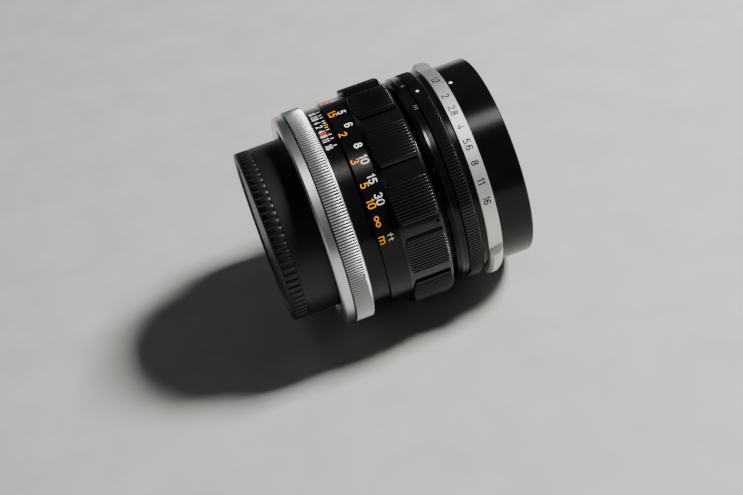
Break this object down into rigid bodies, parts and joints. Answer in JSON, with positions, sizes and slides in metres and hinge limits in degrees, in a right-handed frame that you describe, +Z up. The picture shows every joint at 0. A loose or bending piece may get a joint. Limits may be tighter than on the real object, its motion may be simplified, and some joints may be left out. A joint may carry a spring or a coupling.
{
  "type": "prime camera lens",
  "caption": "Fast standard prime lens lying on its side: ribbed focusing ring, aperture ring with grip tabs, breech-lock ring and rear cap; focus, iris and rings move.",
  "frame": {"origin": "on the optical axis, in the plane of the breech ring's rear face", "axes": "+X along the optical axis towards the front of the lens, +Z up through the index marks, +Y to the left seen from behind the lens"},
  "size_m": [0.0726, 0.0658, 0.0658],
  "materials": {
    "black_enamel": "gloss black lacquer on brass and aluminium",
    "black_grip": "semi-gloss black lacquer, ribbed",
    "satin_silver": "satin chrome",
    "polished_mount": "polished chromed brass",
    "bare_aluminium": "machined, anodised",
    "blackened_metal": "matt black anodised",
    "helicoid_brass": "turned brass",
    "steel": "plain steel",
    "blade_steel": "blued spring steel",
    "cap_plastic": "moulded black plastic",
    "coated_glass": "polished and coated"
  },
  "bodies": {
    "fixed_barrel": {"mount_plate": "polished_mount", "mount_pin": "steel", "mount_screws": "steel", "rear_body": "bare_aluminium", "rear_baffle": "blackened_metal", "lever_keeper": "blackened_metal", "scale_barrel": "black_enamel", "focus_stop_screw": "steel", "guide_keys": "helicoid_brass", "guide_key_screws": "steel"},
    "breech": {"breech_ring": "satin_silver"},
    "cap": {"rear_cap": "cap_plastic"},
    "stop_down": {"stop_lever": "steel"},
    "focus": {"focus_scale_ring": "black_enamel", "focus_grip": "black_grip", "focus_grip_screws": "blackened_metal", "focus_sleeve": "blackened_metal"},
    "optical_unit": {"unit_barrel": "blackened_metal", "index_ring": "black_enamel", "spacer_ring": "black_enamel", "front_barrel": "black_enamel", "trim_ring": "blackened_metal", "front_cell": "blackened_metal", "front_retainer": "blackened_metal", "rear_cell": "blackened_metal", "rear_spacers": "blackened_metal", "rear_retainer": "blackened_metal", "blade_seat": "blackened_metal", "lens_1": "coated_glass", "lens_2": "coated_glass", "lens_3": "coated_glass", "lens_4": "coated_glass", "lens_5": "coated_glass", "lens_6": "coated_glass", "lens_7": "coated_glass"},
    "auto_manual": {"switch_ring": "black_grip", "switch_ring_screws": "steel"},
    "aperture": {"aperture_ring": "satin_silver", "aperture_link": "blackened_metal", "aperture_link_screws": "steel", "iris_cam_ring": "blackened_metal"},
    "blade_1": {"iris_blade_1": "blade_steel"},
    "blade_2": {"iris_blade_2": "blade_steel"},
    "blade_3": {"iris_blade_3": "blade_steel"},
    "blade_4": {"iris_blade_4": "blade_steel"},
    "blade_5": {"iris_blade_5": "blade_steel"},
    "blade_6": {"iris_blade_6": "blade_steel"},
    "blade_7": {"iris_blade_7": "blade_steel"},
    "blade_8": {"iris_blade_8": "blade_steel"}
  },
  "joints": [
    {"name": "breech_turn", "type": "hinge", "parent": "fixed_barrel", "child": "breech", "pos_m": [0, 0, 0], "axis": [1, 0, 0], "range_deg": [-60, 0]},
    {"name": "cap_pull", "type": "slide", "parent": "fixed_barrel", "child": "cap", "axis": [-1, 0, 0], "range_m": [0, 0.022]},
    {"name": "stop_down_turn", "type": "hinge", "parent": "fixed_barrel", "child": "stop_down", "pos_m": [0, 0, 0], "axis": [1, 0, 0], "range_deg": [0, 30], "stiffness_Nm_per_rad": 0.02, "springref_deg": -5.73},
    {"name": "focus_turn", "type": "hinge", "parent": "fixed_barrel", "child": "focus", "pos_m": [0, 0, 0], "axis": [1, 0, 0], "range_deg": [-62.3, 139.4]},
    {"name": "focus_travel", "type": "slide", "parent": "fixed_barrel", "child": "optical_unit", "axis": [1, 0, 0], "range_m": [-0.0022, 0.0049]},
    {"name": "auto_manual_turn", "type": "hinge", "parent": "optical_unit", "child": "auto_manual", "pos_m": [0, 0, 0], "axis": [1, 0, 0], "range_deg": [-10, 12]},
    {"name": "aperture_turn", "type": "hinge", "parent": "optical_unit", "child": "aperture", "pos_m": [0, 0, 0], "axis": [1, 0, 0], "range_deg": [-71.5, 5.3]},
    {"name": "blade_1_swing", "type": "hinge", "parent": "optical_unit", "child": "blade_1", "pos_m": [0.0253, 0.0227, 0], "axis": [1, 0, 0], "range_deg": [-2.56, 34.33]},
    {"name": "blade_2_swing", "type": "hinge", "parent": "optical_unit", "child": "blade_2", "pos_m": [0.0253, 0.01605, 0.01605], "axis": [1, 0, 0], "range_deg": [-2.56, 34.33]},
    {"name": "blade_3_swing", "type": "hinge", "parent": "optical_unit", "child": "blade_3", "pos_m": [0.0253, 0, 0.0227], "axis": [1, 0, 0], "range_deg": [-2.56, 34.33]},
    {"name": "blade_4_swing", "type": "hinge", "parent": "optical_unit", "child": "blade_4", "pos_m": [0.0253, -0.01605, 0.01605], "axis": [1, 0, 0], "range_deg": [-2.56, 34.33]},
    {"name": "blade_5_swing", "type": "hinge", "parent": "optical_unit", "child": "blade_5", "pos_m": [0.0253, -0.0227, 0], "axis": [1, 0, 0], "range_deg": [-2.56, 34.33]},
    {"name": "blade_6_swing", "type": "hinge", "parent": "optical_unit", "child": "blade_6", "pos_m": [0.0253, -0.01605, -0.01605], "axis": [1, 0, 0], "range_deg": [-2.56, 34.33]},
    {"name": "blade_7_swing", "type": "hinge", "parent": "optical_unit", "child": "blade_7", "pos_m": [0.0253, 0, -0.0227], "axis": [1, 0, 0], "range_deg": [-2.56, 34.33]},
    {"name": "blade_8_swing", "type": "hinge", "parent": "optical_unit", "child": "blade_8", "pos_m": [0.0253, 0.01605, -0.01605], "axis": [1, 0, 0], "range_deg": [-2.56, 34.33]}
  ],
  "couplings": [
    {"joint": "focus_travel", "follows": "focus_turn", "m_per_rad": 0.0020053},
    {"joint": "blade_1_swing", "follows": "aperture_turn", "ratio": -0.47984},
    {"joint": "blade_2_swing", "follows": "aperture_turn", "ratio": -0.47984},
    {"joint": "blade_3_swing", "follows": "aperture_turn", "ratio": -0.47984},
    {"joint": "blade_4_swing", "follows": "aperture_turn", "ratio": -0.47984},
    {"joint": "blade_5_swing", "follows": "aperture_turn", "ratio": -0.47984},
    {"joint": "blade_6_swing", "follows": "aperture_turn", "ratio": -0.47984},
    {"joint": "blade_7_swing", "follows": "aperture_turn", "ratio": -0.47984},
    {"joint": "blade_8_swing", "follows": "aperture_turn", "ratio": -0.47984}
  ]
}
